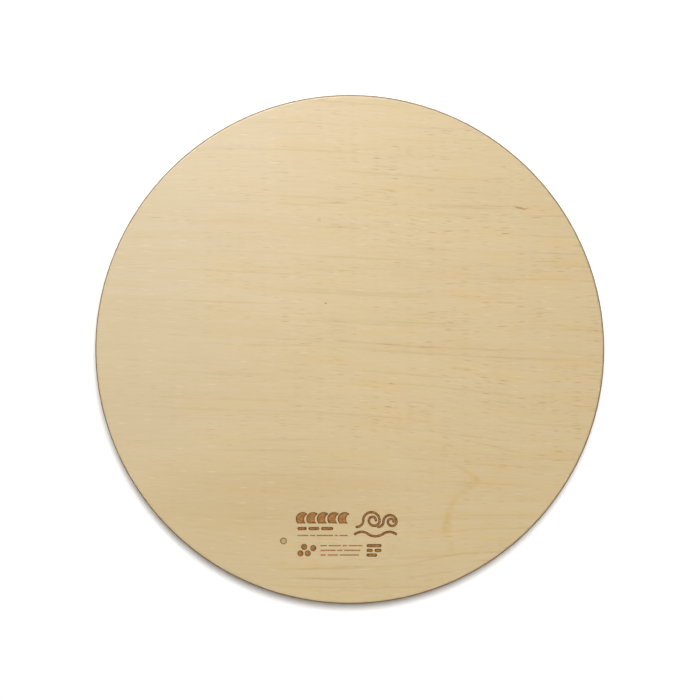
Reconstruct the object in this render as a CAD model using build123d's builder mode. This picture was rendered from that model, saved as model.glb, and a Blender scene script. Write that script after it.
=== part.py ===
"""Ocean drum: a shallow round drum closed by a plywood back panel and a clear film head,
with loose steel balls inside that roll over the film.

Millimetres, +Z up. The origin is the centre of the shell's foot, the plane the drum rests on.
The drum lies head down: the panel is on top, and the balls lie on the film.
"""

from build123d import *

import os
import random
from math import cos, hypot, radians, sin, sqrt

# Driving dimensions
panel_radius = 125.0
panel_thickness = 4.0
panel_edge_radius = 1.2
panel_overhang = 0.5
drum_height = 45.0
ply_thickness = 1.5
glue_line = 0.05

# Every rounded edge is worked as this many narrow bevels, as a sander leaves it
round_bevels = 6

# Shell: three bent plies, one inside the other, each closed by a slanted seam
shell_radius = panel_radius - panel_overhang
shell_height = drum_height - panel_thickness
foot_round = 0.8
seam_gap = 0.15
seam_slant = 28.0
seam_angles = {"shell_outer_ply": 115.0, "shell_core_ply": 235.0, "shell_inner_ply": 355.0}
outer_ply_number = 0
inner_ply_number = len(seam_angles) - 1
ply_pitch = ply_thickness + glue_line
shell_bore = shell_radius - inner_ply_number * ply_pitch - ply_thickness

# Head: a film cup clamped by its collar between the shell and a ring
head_recess = 3.0
film_thickness = 0.3
film_bend = 2.4
collar_height = 11.0
film_radius = shell_bore - glue_line
head_ring_radius = film_radius - film_thickness - glue_line
head_ring_wall = 6.0
head_ring_height = 14.0
head_ring_base = head_recess + film_thickness + glue_line
head_ring_round = film_bend - film_thickness
ring_bore = head_ring_radius - head_ring_wall

# Panel ring: the strip in the corner that the panel is glued to
panel_ring_wall = 8.0
panel_ring_height = 8.0
ring_round = 1.0
scarf_slant = 62.0
panel_ring_scarf = 180.0
head_ring_scarf = 60.0

# Filling hole, through which the balls go in before it is plugged
fill_hole_radius = 1.6
fill_hole_chamfer = 0.1
fill_hole_at = (-32.5, -94.0)
plug_sink = 0.15

# Engraving: a row of crests, rows of bars, two rolling waves over a swell, and four pebbles.
# The thin bars are shallower than the rest.
engraving_depth = 0.25
engraving_left = -25.7
crest_width = 5.0
crest_height = 6.4
crest_pitch = 5.15
crest_shape = [(0.36, 0.86), (1, 0.72), (0.72, 0.52), (0.84, 0)]
crest_places = [(engraving_left + crest * crest_pitch, -85.4) for crest in range(5)]
bar_gap = 0.8
bold_bar = 1.6
bold_rows = [
    ((engraving_left, -87.9), (4.6, 5.4, 6.0)),
    ((8.2, -96.3), (7.4,)),
    ((8.2, -98.6), (3.1, 3.5)),
    ((8.2, -100.9), (5.2,)),
]
thin_bar = 0.6
thin_bar_depth = 0.1
thin_rows = [
    ((engraving_left, -91.3), (5.4, 2.4, 8.0, 1.6, 4.0)),
    ((-14.4, -96.3), (3.2, 6.0, 2.2, 6.8)),
    ((-14.4, -98.6), (7.4, 2.6, 8.0)),
    ((-14.4, -100.9), (2.6, 5.2, 9.6)),
]
wave_stroke = 1.25
wave_turns = 3
wave_shrink = 0.66
wave_back = 0.8
rolling_waves = [((10.6, -83.9), 4.0), ((19.7, -84.5), 3.2)]
swell_start = (2.6, -90.6)
swell_lengths = (6.4, 7.2, 6.4)
swell_rise = 1.1
pebble_radius = 1.5
pebbles = [(-24.2, -100.1), (-20.6, -100.1), (-22.4, -96.9), (-17.9, -97.5)]

# Balls: each row has its own lane along X, and its balls lie anywhere in that lane
ball_radius = 1.5
ball_gap = 0.3
ball_lift = 0.2
row_count = 16
row_pitch = 13.5
balls_on_longest_row = 21
rest_share = 0.52
row_drift = 0.14

os.makedirs("parts", exist_ok=True)


def save(piece, name):
    """Labels a finished piece and writes it to parts/."""
    piece.part.label = name
    export_step(piece.part, f"parts/{name}.step")


def on_circle(radius, degrees, height):
    """A point at this radius and angle about the drum's axis."""
    return Vector(radius * cos(radians(degrees)), radius * sin(radians(degrees)), height)


def turned_profile(degrees):
    """The plane through the drum's axis at this angle, with x as the radius and y as the height."""
    return Plane((0, 0, 0), x_dir=on_circle(1, degrees, 0), z_dir=on_circle(1, degrees - 90, 0))


def quarter_round(radius, height, bend, start):
    """Points of a rounded edge in a turned profile, about this centre, from start on, in degrees."""
    turns = [radians(start + 90 * step / round_bevels) for step in range(round_bevels + 1)]
    return [(radius + bend * cos(turn), height + bend * sin(turn)) for turn in turns]


# ---------------------------------------------------------------- shell plies
def shell_ply(number, seam_at):
    """One bent ply, counted from the outside in. Its seam slants along the drum's side."""
    outer = shell_radius - number * ply_pitch
    inner = outer - ply_thickness
    foot = [(inner, 0), (outer, 0)]
    if number == outer_ply_number:
        foot = [(inner, 0), *quarter_round(outer - foot_round, foot_round, foot_round, 270)]
    if number == inner_ply_number:
        foot = [*quarter_round(inner + foot_round, foot_round, foot_round, 180), (outer, 0)]
    radial = on_circle(1, seam_at, 0)
    tangent = on_circle(1, seam_at + 90, 0)
    normal = tangent * cos(radians(seam_slant)) + Vector(0, 0, 1) * sin(radians(seam_slant))
    seam = Plane(on_circle(outer, seam_at, shell_height / 2), x_dir=radial, z_dir=normal)
    with BuildPart() as ply:
        with BuildSketch(turned_profile(seam_at)):
            with BuildLine():
                Polyline(*foot, (outer, shell_height), (inner, shell_height), close=True)
            make_face()
        revolve(axis=Axis.Z)
        with Locations(seam):
            Box(4 * ply_thickness, 3 * shell_height, seam_gap, mode=Mode.SUBTRACT)
    return ply


for number, (name, seam_at) in enumerate(seam_angles.items()):
    save(shell_ply(number, seam_at), name)


# ---------------------------------------------------------------- rings inside the shell
def cut_scarf(radius, wall, height, degrees):
    """Cuts the slanted seam of a bent ring in the part that is being built."""
    radial = on_circle(1, degrees, 0)
    tangent = on_circle(1, degrees + 90, 0)
    slant = radians(scarf_slant)
    seam = Plane(
        on_circle(radius - wall / 2, degrees, height),
        x_dir=radial * cos(slant) - tangent * sin(slant),
        z_dir=tangent * cos(slant) + radial * sin(slant),
    )
    with Locations(seam):
        Box(4 * wall, 4 * wall, seam_gap, mode=Mode.SUBTRACT)


head_ring_top = head_ring_base + head_ring_height
bearing_edge = quarter_round(
    head_ring_radius - head_ring_round, head_ring_base + head_ring_round, head_ring_round, 270
)
upper_inner_edge = quarter_round(ring_bore + ring_round, head_ring_top - ring_round, ring_round, 90)
with BuildPart() as head_ring:
    with BuildSketch(turned_profile(head_ring_scarf)):
        with BuildLine():
            outside = [*bearing_edge, (head_ring_radius, head_ring_top)]
            Polyline((ring_bore, head_ring_base), *outside, *upper_inner_edge, close=True)
        make_face()
    revolve(axis=Axis.Z)
    cut_scarf(head_ring_radius, head_ring_wall, head_ring_base + head_ring_height / 2, head_ring_scarf)
save(head_ring, "head_ring")

panel_ring_radius = shell_bore - glue_line
panel_ring_bore = panel_ring_radius - panel_ring_wall
panel_ring_base = shell_height - panel_ring_height
lower_inner_edge = quarter_round(
    panel_ring_bore + ring_round, panel_ring_base + ring_round, ring_round, 180
)
with BuildPart() as panel_ring:
    with BuildSketch(turned_profile(panel_ring_scarf)):
        with BuildLine():
            outside = [(panel_ring_radius, panel_ring_base), (panel_ring_radius, shell_height)]
            Polyline(*lower_inner_edge, *outside, (panel_ring_bore, shell_height), close=True)
        make_face()
    revolve(axis=Axis.Z)
    cut_scarf(panel_ring_radius, panel_ring_wall, shell_height - panel_ring_height / 2, panel_ring_scarf)
save(panel_ring, "panel_ring")

# ---------------------------------------------------------------- film head
collar_top = head_recess + collar_height
bend_centre = (film_radius - film_bend, head_recess + film_bend)
outer_bend = quarter_round(*bend_centre, film_bend, 270)
inner_bend = quarter_round(*bend_centre, film_bend - film_thickness, 270)
with BuildPart() as drumhead:
    with BuildSketch(Plane.XZ):
        with BuildLine():
            outside = [(0, head_recess), *outer_bend, (film_radius, collar_top)]
            inside = [(film_radius - film_thickness, collar_top), *reversed(inner_bend)]
            Polyline(*outside, *inside, (0, head_recess + film_thickness), close=True)
        make_face()
    revolve(axis=Axis.Z)
save(drumhead, "drumhead")


# ---------------------------------------------------------------- engraved ornament
def row_of_bars(lengths, height):
    """Round-ended bars in a row, starting at the sketch's origin."""
    with BuildSketch() as bars:
        start = 0
        for length in lengths:
            with Locations((start + length / 2, 0)):
                SlotOverall(length, height)
            start += length + bar_gap
    return bars.sketch


def wave_crest():
    """A solid breaking wave that stands on the sketch's origin: a round back, a tip and a hollow front."""
    back, tip, front, foot = [(x * crest_width, y * crest_height) for x, y in crest_shape]
    with BuildSketch() as crest:
        with BuildLine():
            ThreePointArc((0, 0), back, tip)
            ThreePointArc(tip, front, foot)
            Line(foot, (0, 0))
        make_face()
    return crest.sketch


def rolling_wave(radius):
    """A wave drawn with one stroke: a hollow back that rises into a curl of shrinking half circles."""
    back = wave_back * radius
    with BuildSketch() as wave:
        with BuildLine():
            CenterArc((-radius - back, 0), back, -90, 90)
            start = (-radius, 0)
            for turn in range(wave_turns):
                bow = radius * wave_shrink**turn * (-1) ** turn
                end = (start[0] + 2 * bow, 0)
                ThreePointArc(start, (start[0] + bow, bow), end)
                start = end
        trace(line_width=wave_stroke)
        with Locations((-radius - back, -back), start):
            Circle(wave_stroke / 2)
    return wave.sketch


def swell():
    """A long low stroke that rises and falls, starting at the sketch's origin."""
    with BuildSketch() as low_wave:
        with BuildLine():
            start = 0
            for number, length in enumerate(swell_lengths):
                rise = swell_rise * (-1) ** number
                ThreePointArc((start, 0), (start + length / 2, rise), (start + length, 0))
                start += length
        trace(line_width=wave_stroke)
        with Locations((0, 0), (start, 0)):
            Circle(wave_stroke / 2)
    return low_wave.sketch


upper_edge = quarter_round(
    panel_radius - panel_edge_radius, drum_height - panel_edge_radius, panel_edge_radius, 0
)
with BuildPart() as back_panel:
    with BuildSketch(Plane.XZ):
        with BuildLine():
            underside = [(0, shell_height), (panel_radius, shell_height)]
            Polyline(*underside, *upper_edge, (0, drum_height), close=True)
        make_face()
    revolve(axis=Axis.Z)
    with Locations((*fill_hole_at, drum_height)):
        Hole(fill_hole_radius, depth=panel_thickness)
    hole_edges = back_panel.edges().filter_by(GeomType.CIRCLE)
    rim_of_hole = hole_edges.filter_by(lambda edge: edge.radius < 2 * fill_hole_radius)
    chamfer(rim_of_hole.sort_by(Axis.Z)[-1], fill_hole_chamfer)
    with BuildSketch(Plane.XY.offset(drum_height)):
        for place in crest_places:
            with Locations(place):
                add(wave_crest())
        for place, lengths in bold_rows:
            with Locations(place):
                add(row_of_bars(lengths, bold_bar))
        for place, radius in rolling_waves:
            with Locations(place):
                add(rolling_wave(radius))
        with Locations(swell_start):
            add(swell())
        for place in pebbles:
            with Locations(place):
                Circle(pebble_radius)
    extrude(amount=-engraving_depth, mode=Mode.SUBTRACT)
    with BuildSketch(Plane.XY.offset(drum_height)):
        for place, lengths in thin_rows:
            with Locations(place):
                add(row_of_bars(lengths, thin_bar))
    extrude(amount=-thin_bar_depth, mode=Mode.SUBTRACT)
save(back_panel, "back_panel")

with BuildPart() as fill_plug:
    with BuildSketch(Plane.XY.offset(shell_height + glue_line)):
        with Locations(fill_hole_at):
            Circle(fill_hole_radius - glue_line)
    extrude(amount=panel_thickness - glue_line - plug_sink)
save(fill_plug, "fill_plug")


# ---------------------------------------------------------------- balls
ball_reach = ring_bore - ball_gap - ball_radius
ball_height = head_recess + film_thickness + ball_lift + ball_radius
row_half_width = row_pitch / 2 - ball_gap / 2 - ball_radius


def half_chord(y):
    """How far from the middle a ball's centre may go along X at this Y."""
    return sqrt(ball_reach**2 - y**2)


def row_middle(row):
    return (row - (row_count - 1) / 2) * row_pitch


def row_centres(row):
    """Where the balls of one row lie at rest, each clear of the ones before it."""
    scatter = random.Random(row + 1)
    middle = row_middle(row)
    count = round(balls_on_longest_row * half_chord(middle) / ball_reach)
    drift = scatter.uniform(-row_drift, row_drift)
    centres = []
    while len(centres) < count:
        y = middle + scatter.uniform(-row_half_width, row_half_width)
        x = half_chord(y) * (drift + rest_share * scatter.uniform(-1, 1))
        if all(hypot(x - a, y - b) > 2 * ball_radius + ball_gap for a, b in centres):
            centres.append((x, y))
    return centres


for row in range(row_count):
    with BuildPart() as balls:
        with Locations(*[(x, y, ball_height) for x, y in row_centres(row)]):
            Sphere(ball_radius)
    save(balls, f"ball_row_{row + 1:02d}")
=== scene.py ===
"""Looks of the ocean drum: bare birch panel, bent-ply shell, clear film and steel balls.

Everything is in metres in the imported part's frame, +Z up. Materials work in millimetres.
"""

import math

import bpy
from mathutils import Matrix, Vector


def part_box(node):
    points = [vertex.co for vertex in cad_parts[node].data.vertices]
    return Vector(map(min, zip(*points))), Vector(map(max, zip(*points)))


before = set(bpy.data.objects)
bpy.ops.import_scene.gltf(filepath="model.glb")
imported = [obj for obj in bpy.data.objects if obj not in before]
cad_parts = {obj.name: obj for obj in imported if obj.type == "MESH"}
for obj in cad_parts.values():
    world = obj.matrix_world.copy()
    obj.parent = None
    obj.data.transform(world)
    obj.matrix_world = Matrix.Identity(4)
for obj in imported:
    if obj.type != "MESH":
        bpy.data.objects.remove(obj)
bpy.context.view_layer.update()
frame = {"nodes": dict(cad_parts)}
panel_low, panel_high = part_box("back_panel")
panel_radius_mm = (panel_high.x - panel_low.x) / 2 * 1000
panel_top_mm = panel_high.z * 1000
panel_foot_mm = panel_low.z * 1000


# ---------------------------------------------------------------- colours
def rgb(red, green, blue):
    """A linear colour from sRGB values out of 255."""
    def linear(value):
        share = value / 255
        return share / 12.92 if share <= 0.04045 else ((share + 0.055) / 1.055) ** 2.4

    return (linear(red), linear(green), linear(blue), 1.0)


WOOD = rgb(203, 182, 142)
WOOD_COOL = rgb(199, 182, 147)
WOOD_GOLD = rgb(204, 180, 130)
WOOD_DARK = rgb(176, 147, 93)
WOOD_PALE = rgb(214, 195, 160)
WOOD_YELLOW = rgb(186, 158, 92)
PORE = rgb(164, 116, 64)
FOOT = rgb(150, 124, 86)
EDGE_CORE = rgb(150, 118, 76)
EDGE_DARK = rgb(96, 72, 44)
EDGE_FACE = rgb(138, 110, 72)
EDGE_FIBRE = rgb(106, 82, 52)
EDGE_SCORCH = rgb(102, 76, 46)
GLUE_LINE = rgb(62, 42, 28)
BURNT_LIGHT = rgb(176, 124, 60)
BURNT_DARK = rgb(78, 40, 4)
PLUG_PALE = rgb(180, 154, 108)
PLUG_DARK = rgb(156, 128, 84)
PLUG_RIM = rgb(112, 86, 50)
SHELL_TONE = rgb(220, 193, 150)
CORE_TONE = rgb(200, 168, 124)
RING_TONE = rgb(204, 168, 124)

# Linear colours
FILM_HAZY = (0.86, 0.87, 0.84, 1)
FILM_CLEAR = (0.95, 0.96, 0.93, 1)
STEEL = (0.72, 0.73, 0.75, 1)
STEEL_STAINED = (0.52, 0.52, 0.53, 1)
PAPER = (0.94, 0.95, 0.965, 1)
BLACK = (0, 0, 0, 1)
WHITE = (1, 1, 1, 1)


# ---------------------------------------------------------------- node shorthand
class Graph:
    """Builds one material's nodes. A socket argument is linked, and anything else is set as its value."""

    def __init__(self, name):
        self.material = bpy.data.materials.new(name)
        self.material.use_nodes = True
        self.tree = self.material.node_tree
        self.tree.nodes.clear()
        self.shader = self.tree.nodes.new("ShaderNodeBsdfPrincipled")
        self.output = self.tree.nodes.new("ShaderNodeOutputMaterial")
        self.tree.links.new(self.shader.outputs["BSDF"], self.output.inputs["Surface"])
        place = self.tree.nodes.new("ShaderNodeTexCoord").outputs["Object"]
        self.place = self.vector("MULTIPLY", place, (1000, 1000, 1000))
        self.x, self.y, self.z = self.split(self.place)

    def plug(self, socket, value):
        if isinstance(value, bpy.types.NodeSocket):
            self.tree.links.new(value, socket)
        else:
            socket.default_value = value

    def node(self, kind, inputs, **settings):
        made = self.tree.nodes.new(kind)
        for name, value in settings.items():
            setattr(made, name, value)
        for name, value in inputs.items():
            self.plug(made.inputs[name], value)
        return made

    def math(self, operation, *values):
        made = self.node("ShaderNodeMath", dict(enumerate(values)), operation=operation)
        return made.outputs[0]

    def vector(self, operation, *values):
        made = self.node("ShaderNodeVectorMath", dict(enumerate(values)), operation=operation)
        return made.outputs["Value" if operation in ("LENGTH", "DOT_PRODUCT") else "Vector"]

    def split(self, vector):
        return self.node("ShaderNodeSeparateXYZ", {0: vector}).outputs

    def join(self, x, y, z):
        return self.node("ShaderNodeCombineXYZ", {0: x, 1: y, 2: z}).outputs[0]

    def flat_length(self, vector):
        """The vector's length in plan, without its height."""
        return self.vector("LENGTH", self.vector("MULTIPLY", vector, (1, 1, 0)))

    def step(self, value, low, high, to_low=0.0, to_high=1.0):
        """A smooth step from to_low to to_high while value goes from low to high."""
        inputs = dict(zip(("Value", "From Min", "From Max", "To Min", "To Max"),
                          (value, low, high, to_low, to_high)))
        return self.node("ShaderNodeMapRange", inputs, interpolation_type="SMOOTHSTEP").outputs[0]

    def noise(self, size, seed=0.0, detail=2.0, rough=0.5, at=None):
        """Noise from 0 to 1 whose blobs have this size in millimetres along each axis."""
        scaled = self.vector("DIVIDE", at or self.place, size)
        inputs = {"Vector": scaled, "W": seed, "Scale": 1.0, "Detail": detail, "Roughness": rough}
        return self.node("ShaderNodeTexNoise", inputs, noise_dimensions="4D").outputs["Fac"]

    def swing(self, noise, reach, around=0.0):
        """Noise from 0 to 1 made to swing over reach, half of it to each side of around."""
        return self.math("MULTIPLY_ADD", self.math("SUBTRACT", noise, 0.5), reach, around)

    def mix(self, share, first, second):
        made = self.node("ShaderNodeMix", {0: share}, data_type="RGBA")
        self.plug(made.inputs[6], first)
        self.plug(made.inputs[7], second)
        return made.outputs[2]

    def bump(self, height, depth_mm, strength):
        inputs = {"Height": height, "Strength": strength, "Distance": depth_mm / 1000}
        made = self.node("ShaderNodeBump", inputs)
        self.plug(self.shader.inputs["Normal"], made.outputs[0])

    def finish(self, **inputs):
        for name, value in inputs.items():
            self.plug(self.shader.inputs[name.replace("_", " ").title()], value)
        return self.material


# ---------------------------------------------------------------- wood
# Length along the grain and width across it, in millimetres
BANDS = (160, 9)
STREAKS = (16, 0.9)
FIBRES = (5, 0.28)
PORE_PATCHES = (38, 11)
GOLD_PATCHES = (42, 5)

# The cell that holds each dash, and the dash, as length and width in millimetres
PORE_DASHES = ((9, 1.8), (3.2, 0.32))
SHORT_DASHES = ((5.5, 0.95), (2.2, 0.24))
LONG_DASHES = ((20, 2.8), (8.0, 0.34))
PALE_DASHES = ((15, 2.8), (3.4, 0.42))


def dashes(g, at, cell, size, seed):
    """Short strokes in the plane of at, one in each cell, from 0 to 1."""
    shifted = g.vector("ADD", at, (seed * 31.7, seed * 17.3, seed * 11.9))
    scaled = g.vector("DIVIDE", shifted, (*cell, 1))
    cells = g.node("ShaderNodeTexVoronoi", {"Vector": scaled, "Scale": 1.0, "Randomness": 1.0},
                   voronoi_dimensions="2D").outputs
    away = g.vector("MULTIPLY", g.vector("SUBTRACT", scaled, cells["Position"]), (*cell, 0))
    reach = g.vector("LENGTH", g.vector("DIVIDE", away, (*size, 1)))
    strength = g.math("POWER", g.split(cells["Color"])[0], 2.5)
    return g.math("MULTIPLY", g.step(reach, 1.0, 0.1), strength)


class WoodMasks:
    """Masks of plain-sawn wood: a soft darker tone, golden patches, pores, pale dashes, and relief.

    at is a point's place in millimetres, along the grain and across it.
    """

    def __init__(self, g, at, seed, density=1.0):
        bands = g.noise((*BANDS, 1), seed, 2, 0.55, at)
        streaks = g.noise((*STREAKS, 1), seed + 5, 3, 0.6, at)
        fibres = g.noise((*FIBRES, 1), seed + 9, 2, 0.5, at)
        self.tone = g.swing(fibres, 0.25, g.swing(streaks, 0.42, g.swing(bands, 0.3, 0.2)))
        self.gold = g.step(g.noise((*GOLD_PATCHES, 1), seed + 6, 3, 0.55, at), 0.46, 0.68)
        long = g.math("MULTIPLY", dashes(g, at, *LONG_DASHES, seed + 7), 0.6)
        short = g.math("MULTIPLY_ADD", dashes(g, at, *SHORT_DASHES, seed + 2), 0.6, long)
        pores = g.math("ADD", dashes(g, at, *PORE_DASHES, seed + 1), short)
        patches = g.step(g.noise((*PORE_PATCHES, 1), seed + 3, 2, 0.5, at), 0.36, 0.62, 0.3, 1.25)
        self.pores = g.math("MULTIPLY", pores, g.math("MULTIPLY", patches, density))
        self.pale = dashes(g, at, *PALE_DASHES, seed + 4)
        self.relief = g.math("SUBTRACT", g.math("MULTIPLY", fibres, 0.5), self.pores)


def growth_lines(g, height, spacing, width, seed):
    """Thin long lines at uneven heights in millimetres, each fading in and out along the grain."""
    level = g.math("DIVIDE", g.math("ADD", height, seed * 37.3), spacing)
    away = g.node("ShaderNodeTexVoronoi", {"W": level, "Scale": 1.0, "Randomness": 1.0},
                  voronoi_dimensions="1D").outputs["Distance"]
    fade = g.step(g.noise((60, 6, 60), seed + 1, 1), 0.4, 0.7)
    return g.math("MULTIPLY", g.step(away, width / spacing, 0.0), fade)


# ---------------------------------------------------------------- the panel's own figure
# x, y, length, width in millimetres, strength, tilt in degrees
PIN_MARKS = [
    (83.3, 69.4, 8.0, 1.3, 1.1, -12),
    (86.4, 69.2, 5.0, 0.9, 0.7, 14),
    (91.1, 64.6, 8.0, 0.7, 0.4, 2),
    (76.4, 56.8, 6.0, 1.0, 0.8, -4),
    (23.4, 42.6, 6.0, 0.7, 0.6, -3),
    (20.9, 88.3, 6.5, 0.8, 0.5, 0),
    (42.5, 87.9, 5.5, 1.2, 0.4, -3),
    (46.0, 107.4, 4.5, 0.9, 0.3, 0),
    (58.7, 98.6, 5.0, 0.7, 0.4, -5),
    (75.4, 89.7, 4.0, 0.9, 0.4, 4),
    (74.9, 11.3, 7.0, 1.0, 0.5, 2),
    (-11.8, 22.6, 2.2, 0.9, 1.2, 0),
    (39.0, 3.6, 5.0, 0.8, 0.6, -3),
    (20.2, -16.7, 3.2, 0.7, 0.9, -4),
    (18.9, -28.0, 4.5, 0.8, 0.6, 0),
    (-8.0, 72.0, 19.0, 1.5, 0.4, 0),
    (-15.1, 63.6, 2.6, 3.0, 0.35, 0),
    (-95.6, 64.8, 12.0, 0.8, 0.35, -6),
    (-77.0, 83.0, 8.0, 1.0, 0.2, 3),
    (-36.0, 87.0, 9.0, 1.0, 0.2, 4),
]
LONG_LINES = [
    (-52.0, 38.0, 118.0, 1.3, 0.28, -2.7),
    (-66.0, 23.5, 90.0, 1.2, 0.2, -1.8),
    (60.0, 70.5, 80.0, 1.6, 0.22, -1.0),
    (62.0, 41.0, 60.0, 1.2, 0.16, -1.5),
    (-30.0, -44.3, 60.0, 1.2, 0.22, 0.5),
    (70.0, -47.5, 44.0, 1.3, 0.3, -14.0),
    (-14.0, -107.6, 58.0, 1.3, 0.42, 0.5),
    (-10.0, -112.5, 52.0, 1.6, 0.5, -1.0),
    (40.0, -103.0, 54.0, 1.3, 0.22, 11.0),
    (42.0, -110.0, 50.0, 1.3, 0.2, 9.0),
]
# A broad band that darkens the panel's lower half towards the left
BROAD_SHADES = [
    (-42.0, -74.0, 170.0, 62.0, 0.17, 0.0),
]
YELLOW_FIGURE = [
    (57.6, -60.2, 19.0, 3.6, 0.55, -32),
    (61.5, -64.0, 8.0, 5.0, 0.45, -10),
    (57.6, -68.2, 14.0, 5.0, 0.55, 32),
    (51.6, -73.6, 9.0, 4.8, 0.5, 45),
    (48.8, -79.8, 13.0, 6.0, 0.5, 72),
    (47.6, -87.0, 12.0, 7.0, 0.65, 88),
    (50.0, -97.0, 9.0, 4.8, 0.4, -80),
]


def mark(g, at, x, y, length, width, tilt):
    """One soft-ended stroke of the panel's figure, from 0 to 1. tilt is its rise along x, in degrees."""
    turn = math.radians(tilt)
    from_middle = g.vector("SUBTRACT", at, (x, y, 0))
    along = g.vector("DOT_PRODUCT", from_middle, (math.cos(turn), math.sin(turn), 0))
    across = g.vector("DOT_PRODUCT", from_middle, (-math.sin(turn), math.cos(turn), 0))
    reach = g.vector("LENGTH", g.vector("DIVIDE", g.join(along, across, 0), (length / 2, width / 2, 1)))
    return g.step(reach, 1.0, 0.2)


def all_marks(g, at, marks):
    total = 0.0
    for x, y, length, width, strength, tilt in marks:
        total = g.math("MULTIPLY_ADD", mark(g, at, x, y, length, width, tilt), strength, total)
    return total


# ---------------------------------------------------------------- back panel
# The grain closes in on this y at the lower right, over this reach to each side of it, while x goes from
# the first value to the second. All are in millimetres. At most this share of the distance is pulled in.
GRAIN_FOCUS = -70.0
GRAIN_FOCUS_REACH = 42.0
CLOSING_IN = (-10, 110)
GRAIN_PULL = 0.4

# How far the grain dips for each millimetre to the right, and the x at which it hasn't dipped or risen
GRAIN_DIP = 0.035
LEVEL_X = 20

# How far the grain sways over the panel and ripples over a centimetre, how far the marks wobble, and the
# growth lines, in millimetres
PANEL_SWAY = 8.0
PANEL_RIPPLE = 1.0
MARK_WOBBLE = 1.1
PANEL_LINE_SPACING = 7.0
PANEL_LINE_WIDTH = 0.9

# The plywood's layers, in millimetres
CORE_HALF = 0.7
LAYER_BLEND = 0.06
GLUE_HALF = 0.14

# How far inside the rim the laser-cut edge's colour starts and is full, in millimetres
EDGE_FADE = (0.9, 0.3)

# The engraving, in millimetres: the depths over which it turns brown and then darker, the plain border
# inside the rim, the plain wood above the underside, and the pitch of the laser's scan lines
BURNT_DEPTHS = (0.03, 0.08)
DARKER_DEPTHS = (0.1, 0.2)
PLAIN_BORDER = (4, 5)
PLAIN_BACK = (2, 3)
SCAN_PITCH = 0.25

# How far the painted shade beside the engraving's walls reaches over its floor, in metres
PAINTED_WALL_SHADE_REACH = 0.001


def panel_height(g):
    """Each point's place across the grain, which runs along X, dips to the right, and at the lower right
    closes in like a V lying down.
    """
    from_focus = g.math("SUBTRACT", g.y, GRAIN_FOCUS)
    nearness = g.math("POWER", g.math("DIVIDE", from_focus, GRAIN_FOCUS_REACH), 2.0)
    pull = g.math("DIVIDE", g.step(g.x, *CLOSING_IN, 0.0, GRAIN_PULL), g.math("EXPONENT", nearness))
    height = g.math("MULTIPLY_ADD", from_focus, pull, g.y)
    height = g.math("MULTIPLY_ADD", g.math("SUBTRACT", g.x, LEVEL_X), GRAIN_DIP, height)
    height = g.swing(g.noise((120, 60, 120), 2.0, 1), PANEL_SWAY, height)
    return g.swing(g.noise((14, 5, 14), 6.0, 1), PANEL_RIPPLE, height)


def panel_face(g):
    """The bare face's colour, how dark its figure is, and its relief."""
    height = panel_height(g)
    # Pores are sparser at the left and at the bottom, and growth lines are fainter at the left
    density = g.math("MULTIPLY", g.step(g.x, -110, 40, 0.45, 1.15), g.step(g.y, -95, -30, 0.6, 1.0))
    wood = WoodMasks(g, g.join(g.x, height, 0), 0.0, density)
    sketched = g.join(g.x, g.swing(g.noise((5, 2, 5), 8.0, 2), MARK_WOBBLE, g.y), 0)
    lines = growth_lines(g, height, PANEL_LINE_SPACING, PANEL_LINE_WIDTH, 3.0)
    tone = g.math("ADD", wood.tone, all_marks(g, sketched, LONG_LINES + BROAD_SHADES))
    tone = g.math("MULTIPLY_ADD", lines, g.step(g.x, -110, 30, 0.1, 0.26), tone)
    # The wood is cooler and less golden at the left
    cool = g.math("MULTIPLY", g.step(g.x, -110, 30, 0.9, 0.0), g.step(g.y, -85, -30, 0.3, 1.0))
    colour = g.mix(cool, WOOD, WOOD_COOL)
    gold = g.math("MULTIPLY", wood.gold, g.step(g.x, -120, 20, 0.1, 0.7))
    colour = g.mix(gold, colour, WOOD_GOLD)
    colour = g.mix(tone, colour, WOOD_DARK)
    colour = g.mix(g.math("MULTIPLY", wood.pale, 0.55), colour, WOOD_PALE)
    patchy = g.step(g.noise((5, 3, 5), 16.0, 2), 0.3, 0.7, 0.35, 1.0)
    figure = g.math("MULTIPLY", all_marks(g, sketched, YELLOW_FIGURE), patchy)
    colour = g.mix(figure, colour, WOOD_YELLOW)
    colour = g.mix(g.math("MULTIPLY", wood.pores, 0.5), colour, PORE)
    colour = g.mix(g.math("MULTIPLY", all_marks(g, sketched, PIN_MARKS), 0.9), colour, PORE)
    return colour, tone, wood.relief


def laser_cut_edge(g):
    """The edge's colour. The face plies and the core show end grain by turns round the panel, between
    thin glue lines, and both arrises are scorched.
    """
    from_core = g.math("ABSOLUTE", g.math("SUBTRACT", g.z, (panel_top_mm + panel_foot_mm) / 2))
    layer = g.step(from_core, CORE_HALF - LAYER_BLEND, CORE_HALF + LAYER_BLEND)
    sideways = g.math("POWER", g.math("DIVIDE", g.x, panel_radius_mm), 2.0)
    pores = g.step(g.noise((0.5, 0.5, 0.35), 4.0, 2), 0.35, 0.7)
    fibres = g.step(g.noise((9, 9, 0.25), 14.0, 2), 0.35, 0.7)
    core = g.mix(g.mix(sideways, pores, fibres), EDGE_CORE, EDGE_DARK)
    face = g.mix(g.mix(sideways, fibres, pores), EDGE_FACE, EDGE_FIBRE)
    from_glue = g.math("ABSOLUTE", g.math("SUBTRACT", from_core, CORE_HALF))
    glue = g.step(from_glue, GLUE_HALF, 0.02, 0.0, 0.7)
    colour = g.mix(glue, g.mix(layer, core, face), GLUE_LINE)
    return g.mix(g.step(from_core, 1.0, 1.5, 0.0, 0.85), colour, EDGE_SCORCH)


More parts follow.
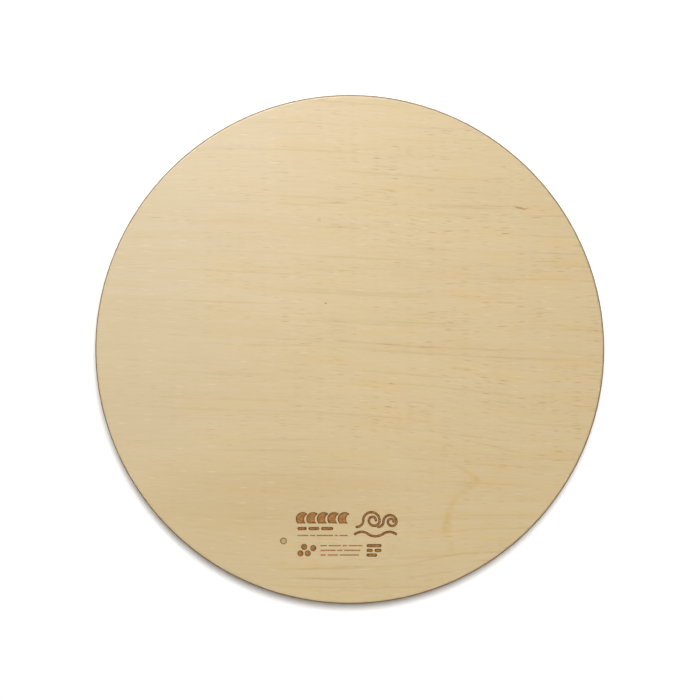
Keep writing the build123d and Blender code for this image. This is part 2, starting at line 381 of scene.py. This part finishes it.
def burnt_wood_and_painted_shade(g):
    """The engraving's colour: burnt, with painted shade beside its walls from an ambient occlusion node,
    and marked by the laser's scan lines.
    """
    deep = g.step(g.z, *(panel_top_mm - depth for depth in DARKER_DEPTHS), -0.35, 0.0)
    # Painted shade: an ambient occlusion node darkens the engraving's floor beside its walls
    corners = g.node("ShaderNodeAmbientOcclusion", {"Distance": PAINTED_WALL_SHADE_REACH}, samples=8, only_local=True)
    painted_wall_shade = g.step(corners.outputs["AO"], 0.96, 0.72)
    uneven = g.step(g.noise((1.6, 0.9, 1.6), 7.0, 3, 0.6), 0.3, 0.7, -0.1, 0.6)
    scan = g.step(g.math("SINE", g.math("MULTIPLY", g.y, 2 * math.pi / SCAN_PITCH)), -1, 1, 0.0, 0.2)
    char_and_painted_shade = g.math("ADD", g.math("ADD", uneven, scan), g.math("ADD", deep, painted_wall_shade))
    return g.mix(g.math("MAXIMUM", char_and_painted_shade, 0.0), BURNT_LIGHT, BURNT_DARK)


def panel_birch():
    g = Graph("panel_birch")
    colour, tone, relief = panel_face(g)
    radius = g.flat_length(g.place)
    edge = g.step(radius, *(panel_radius_mm - inset for inset in EDGE_FADE))
    colour = g.mix(edge, colour, laser_cut_edge(g))
    # Burnt, with painted shade beside the walls, where it is sunk below the face, but not at the rim or
    # on the underside
    inside = g.step(radius, *(panel_radius_mm - inset for inset in PLAIN_BORDER))
    upper = g.step(g.z, *(panel_foot_mm + rise for rise in PLAIN_BACK))
    sunk = g.step(g.z, *(panel_top_mm - depth for depth in BURNT_DEPTHS))
    sunk = g.math("MULTIPLY", g.math("MULTIPLY", sunk, inside), upper)
    colour = g.mix(sunk, colour, burnt_wood_and_painted_shade(g))
    smudge = g.step(g.noise((40, 40, 40), 12.0, 2), 0.3, 0.7, 0.4, 0.46)
    rough = g.math("MULTIPLY_ADD", tone, 0.05, smudge)
    rough = g.math("MAXIMUM", rough, g.math("MULTIPLY", g.math("MAXIMUM", sunk, edge), 0.9))
    g.bump(relief, 0.05, 0.5)
    return g.finish(base_color=colour, roughness=rough)


# ---------------------------------------------------------------- bent plies and rings
# Where each hoop's ends meet, in degrees about the axis, and how far the plies' seams lean
OUTER_SEAM, CORE_SEAM, INNER_SEAM, PANEL_RING_SEAM, HEAD_RING_SEAM = 115.0, 235.0, 355.0, 180.0, 60.0
SEAM_SLANT = 28.0

# The share of each hoop's own colour that is left where its figure is darkest
FIGURE_SHADE = (0.76, 0.66, 0.52, 1)

# How far a hoop's grain sways and ripples, and its growth lines, in millimetres
HOOP_SWAY = 12
HOOP_RIPPLE = 0.9
HOOP_LINE_SPACING = 4.0
HOOP_LINE_WIDTH = 0.6


def bent_wood(name, seed, tone, seam, slant=0.0, height=0.0):
    """A strip bent into a hoop. Its ends meet at seam, in degrees, along a line that leans by slant."""
    g = Graph(name)
    lean = math.tan(math.radians(slant)) / panel_radius_mm
    leaning = g.math("MULTIPLY", g.math("SUBTRACT", g.z, height / 2), lean)
    turn = g.math("ADD", g.math("SUBTRACT", g.math("ARCTAN2", g.y, g.x), math.radians(seam)), leaning)
    along = g.math("MULTIPLY", g.math("FLOORED_MODULO", turn, 2 * math.pi), panel_radius_mm)
    unrolled = g.join(along, g.z, 0)
    level = g.swing(g.noise((130, 60, 1), seed + 20, 1, at=unrolled), HOOP_SWAY, g.z)
    level = g.swing(g.noise((11, 5, 1), seed + 30, 1, at=unrolled), HOOP_RIPPLE, level)
    wood = WoodMasks(g, g.join(along, level, 0), seed)
    lines = growth_lines(g, level, HOOP_LINE_SPACING, HOOP_LINE_WIDTH, seed + 3)
    dark = g.math("MULTIPLY_ADD", lines, 0.6, g.math("MULTIPLY", wood.tone, 1.3))
    colour = g.mix(g.math("MULTIPLY", wood.gold, 0.4), tone, WOOD_GOLD)
    colour = g.mix(dark, colour, tuple(c * share for c, share in zip(tone, FIGURE_SHADE)))
    colour = g.mix(g.math("MULTIPLY", wood.pale, 0.6), colour, WOOD_PALE)
    colour = g.mix(g.math("MULTIPLY", wood.pores, 0.4), colour, PORE)
    # Darker towards FOOT within the lowest millimetre, where the drum meets the floor
    colour = g.mix(g.step(g.z, 0.9, 0.2, 0.0, 0.4), colour, FOOT)
    rough = g.step(g.noise((30, 30, 30), seed + 12, 2), 0.3, 0.7, 0.34, 0.46)
    g.bump(wood.relief, 0.06, 0.5)
    return g.finish(base_color=colour, roughness=rough, coat_weight=0.25, coat_roughness=0.25)


# ---------------------------------------------------------------- plug, film and balls
# The dowel's growth rings, in millimetres: their pitch, and how far their centre is from its axis
RING_PITCH = 0.7
RING_CENTRE = (2.1, -1.2)
SCORCHED_RIM = 0.7


def plug_dowel():
    """End grain of a thin dowel: rings round a point off its middle, fine pores, and a scorched rim."""
    g = Graph("plug_dowel")
    low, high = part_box("fill_plug")
    middle = (low + high) / 2 * 1000
    radius = (high.x - low.x) / 2 * 1000
    centre = (middle.x + RING_CENTRE[0], middle.y + RING_CENTRE[1], 0)
    reach = g.flat_length(g.vector("SUBTRACT", g.place, centre))
    rings = g.step(g.math("SINE", g.math("MULTIPLY", reach, 2 * math.pi / RING_PITCH)), -1, 1)
    pores = g.noise((0.25, 0.25, 0.25), 3.0, 3)
    colour = g.mix(g.math("MULTIPLY", rings, g.step(pores, 0.2, 0.8)), PLUG_PALE, PLUG_DARK)
    from_axis = g.flat_length(g.vector("SUBTRACT", g.place, tuple(middle)))
    colour = g.mix(g.step(from_axis, radius - SCORCHED_RIM, radius), colour, PLUG_RIM)
    g.bump(pores, 0.05, 0.6)
    return g.finish(base_color=colour, roughness=0.7)


def clear_film():
    """Clear plastic film with a faint haze and fine scuffs."""
    g = Graph("clear_film")
    haze = g.noise((25, 25, 25), 1.0, 3)
    scuffs = g.step(g.noise((6, 1.0, 6), 5.0, 3), 0.6, 0.8)
    g.bump(haze, 0.15, 0.2)
    rough = g.math("MULTIPLY_ADD", scuffs, 0.12, 0.05)
    return g.finish(base_color=g.mix(haze, FILM_HAZY, FILM_CLEAR), roughness=rough, alpha=0.16,
                    coat_weight=0.6)


def steel_ball():
    """Bright steel, a little duller in patches."""
    g = Graph("steel_ball")
    stain = g.step(g.noise((2.5, 2.5, 2.5), 2.0, 3), 0.35, 0.75)
    rough = g.math("MULTIPLY_ADD", stain, 0.14, 0.1)
    return g.finish(base_color=g.mix(stain, STEEL, STEEL_STAINED), metallic=1.0, roughness=rough)


def finish_every_node():
    shell = (SEAM_SLANT, panel_foot_mm)
    finishes = {
        "back_panel": panel_birch(),
        "fill_plug": plug_dowel(),
        "shell_outer_ply": bent_wood("shell_face_ply", 20.0, SHELL_TONE, OUTER_SEAM, *shell),
        "shell_core_ply": bent_wood("shell_core", 40.0, CORE_TONE, CORE_SEAM, *shell),
        "shell_inner_ply": bent_wood("shell_lining", 60.0, SHELL_TONE, INNER_SEAM, *shell),
        "panel_ring": bent_wood("panel_ring_wood", 80.0, RING_TONE, PANEL_RING_SEAM),
        "head_ring": bent_wood("head_ring_wood", 100.0, RING_TONE, HEAD_RING_SEAM),
        "drumhead": clear_film(),
    }
    ball_finish = steel_ball()
    for name, node in frame["nodes"].items():
        node.data.materials.clear()
        node.data.materials.append(finishes.get(name, ball_finish))


# ---------------------------------------------------------------- studio
# Metres
FLOOR_REACH = 20.0
SURROUND_REACH = 15.0
GLOW_START, GLOW_FULL = 0.3, 1.2

# The room's brightness overhead, and how high above the horizon it has fallen to that
ROOM_LEVEL = 0.22
ROOM_TURN = 0.22

# Where the lamps stand, in metres
BESIDE_CAMERA = (0, 0.072, 1.1)
FLOOR_KEY_PLACE = (0.015, 0.072, 1.1)
UPPER_LEFT = (-0.18, 0.57, 0.95)
HIGH_BEHIND = (-0.7, 1.1, 0.6)
BENEATH = (0, 0, -0.8)
LOW_BEHIND = (-0.35, 0.6, -0.8)


def pale_floor():
    """A white floor under the drum. It glows far out, so that it stays white up to the horizon, and it is
    clear from beneath, so that the film side can be looked at.
    """
    bpy.ops.mesh.primitive_plane_add(size=2 * FLOOR_REACH)
    floor = bpy.context.object
    floor.name = "studio_floor"
    g = Graph("studio_floor")
    distance = g.math("DIVIDE", g.vector("LENGTH", g.place), 1000)
    g.finish(base_color=PAPER, roughness=1.0, emission_color=WHITE,
             emission_strength=g.step(distance, GLOW_START, GLOW_FULL))
    g.shader.inputs["Specular IOR Level"].default_value = 0.0
    clear = g.node("ShaderNodeBsdfTransparent", {})
    side = g.node("ShaderNodeNewGeometry", {}).outputs["Backfacing"]
    both = g.node("ShaderNodeMixShader", {0: side, 1: g.shader.outputs[0], 2: clear.outputs[0]})
    g.plug(g.output.inputs["Surface"], both.outputs[0])
    floor.data.materials.append(g.material)
    return floor


def white_surround():
    """A white dome round the studio. Only the camera sees it, so it lights nothing."""
    bpy.ops.mesh.primitive_uv_sphere_add(segments=48, ring_count=24, radius=SURROUND_REACH)
    dome = bpy.context.object
    dome.name = "white_surround"
    for ray in ("diffuse", "glossy", "transmission", "volume_scatter", "shadow"):
        setattr(dome, f"visible_{ray}", False)
    g = Graph("white_surround")
    dome.data.materials.append(g.finish(base_color=BLACK, emission_color=WHITE, emission_strength=1.0))


def pale_room():
    """Dim overhead, and white near the horizon."""
    world = bpy.data.worlds.new("studio")
    world.use_nodes = True
    nodes, links = world.node_tree.nodes, world.node_tree.links
    direction = nodes.new("ShaderNodeTexCoord").outputs["Generated"]
    height = nodes.new("ShaderNodeSeparateXYZ")
    links.new(direction, height.inputs[0])
    level = nodes.new("ShaderNodeMapRange")
    level.interpolation_type = "SMOOTHSTEP"
    spans = {"From Min": 0.0, "From Max": ROOM_TURN, "To Min": 1.0, "To Max": ROOM_LEVEL}
    for name, value in spans.items():
        level.inputs[name].default_value = value
    links.new(height.outputs["Z"], level.inputs["Value"])
    links.new(level.outputs[0], nodes["Background"].inputs["Strength"])
    nodes["Background"].inputs["Color"].default_value = WHITE
    bpy.context.scene.world = world


def studio_light(name, place, size, power, lights, glossy=True, diffuse=True, blocked_by=None):
    """A round lamp aimed at the drum, with its size in metres and its power in watts.

    It lights one collection, and is blocked by another or by everything.
    """
    light = bpy.data.lights.new(name, "AREA")
    light.shape = "DISK"
    light.size = size
    light.energy = power
    lamp = bpy.data.objects.new(name, light)
    lamp.location = place
    lamp.rotation_euler = (-Vector(place)).to_track_quat("-Z", "Y").to_euler()
    lamp.visible_glossy = glossy
    lamp.visible_diffuse = diffuse
    lamp.light_linking.receiver_collection = lights
    if blocked_by:
        lamp.light_linking.blocker_collection = blocked_by
    bpy.context.scene.collection.objects.link(lamp)


def collection(name, members):
    made = bpy.data.collections.new(name)
    for member in members:
        made.objects.link(member)
    return made


def studio(floor):
    """A key lamp beside the camera, a broad sheen from the upper left, soft fills from behind and from
    beneath, and an even pale room.
    """
    pale_room()
    white_surround()
    nodes = frame["nodes"]
    drum = collection("drum_pieces", nodes.values())
    side = collection("shell_side", [nodes["shell_outer_ply"]])
    others = [node for name, node in nodes.items() if name != "shell_outer_ply"]
    ends = collection("panel_and_film_side", others)
    stage = collection("stage_pieces", [floor])
    studio_light("key", BESIDE_CAMERA, 0.12, 8.3, drum, glossy=False)
    studio_light("floor_key", FLOOR_KEY_PLACE, 0.13, 11.8, stage, glossy=False)
    studio_light("sheen", UPPER_LEFT, 0.5, 19.0, drum, diffuse=False)
    studio_light("fill", HIGH_BEHIND, 0.5, 11.0, ends, glossy=False)
    studio_light("side_fill", HIGH_BEHIND, 0.5, 5.0, side, glossy=False)
    studio_light("under", BENEATH, 0.2, 6.0, ends, glossy=False, blocked_by=drum)
    studio_light("glint", LOW_BEHIND, 0.2, 6.0, ends, diffuse=False, blocked_by=drum)
    bpy.context.scene.view_settings.view_transform = "Standard"
    bpy.context.scene.view_settings.look = "None"


# ---------------------------------------------------------------- camera
LENS_MM = 100.0
SENSOR_MM = 36.0
DRUM_SHARE_OF_FRAME = 0.7279
EYE_X, EYE_Y = 0.0001, -0.0003


def camera():
    """Straight down on the panel, with +Y up in the picture."""
    data = bpy.data.cameras.new("camera")
    data.lens = LENS_MM
    data.sensor_width = SENSOR_MM
    eye = bpy.data.objects.new("camera", data)
    frame_width = 2 * panel_radius_mm / 1000 / DRUM_SHARE_OF_FRAME
    eye.location = (EYE_X, EYE_Y, panel_high.z + frame_width * LENS_MM / SENSOR_MM)
    bpy.context.scene.collection.objects.link(eye)
    bpy.context.scene.camera = eye


finish_every_node()
studio(pale_floor())
camera()
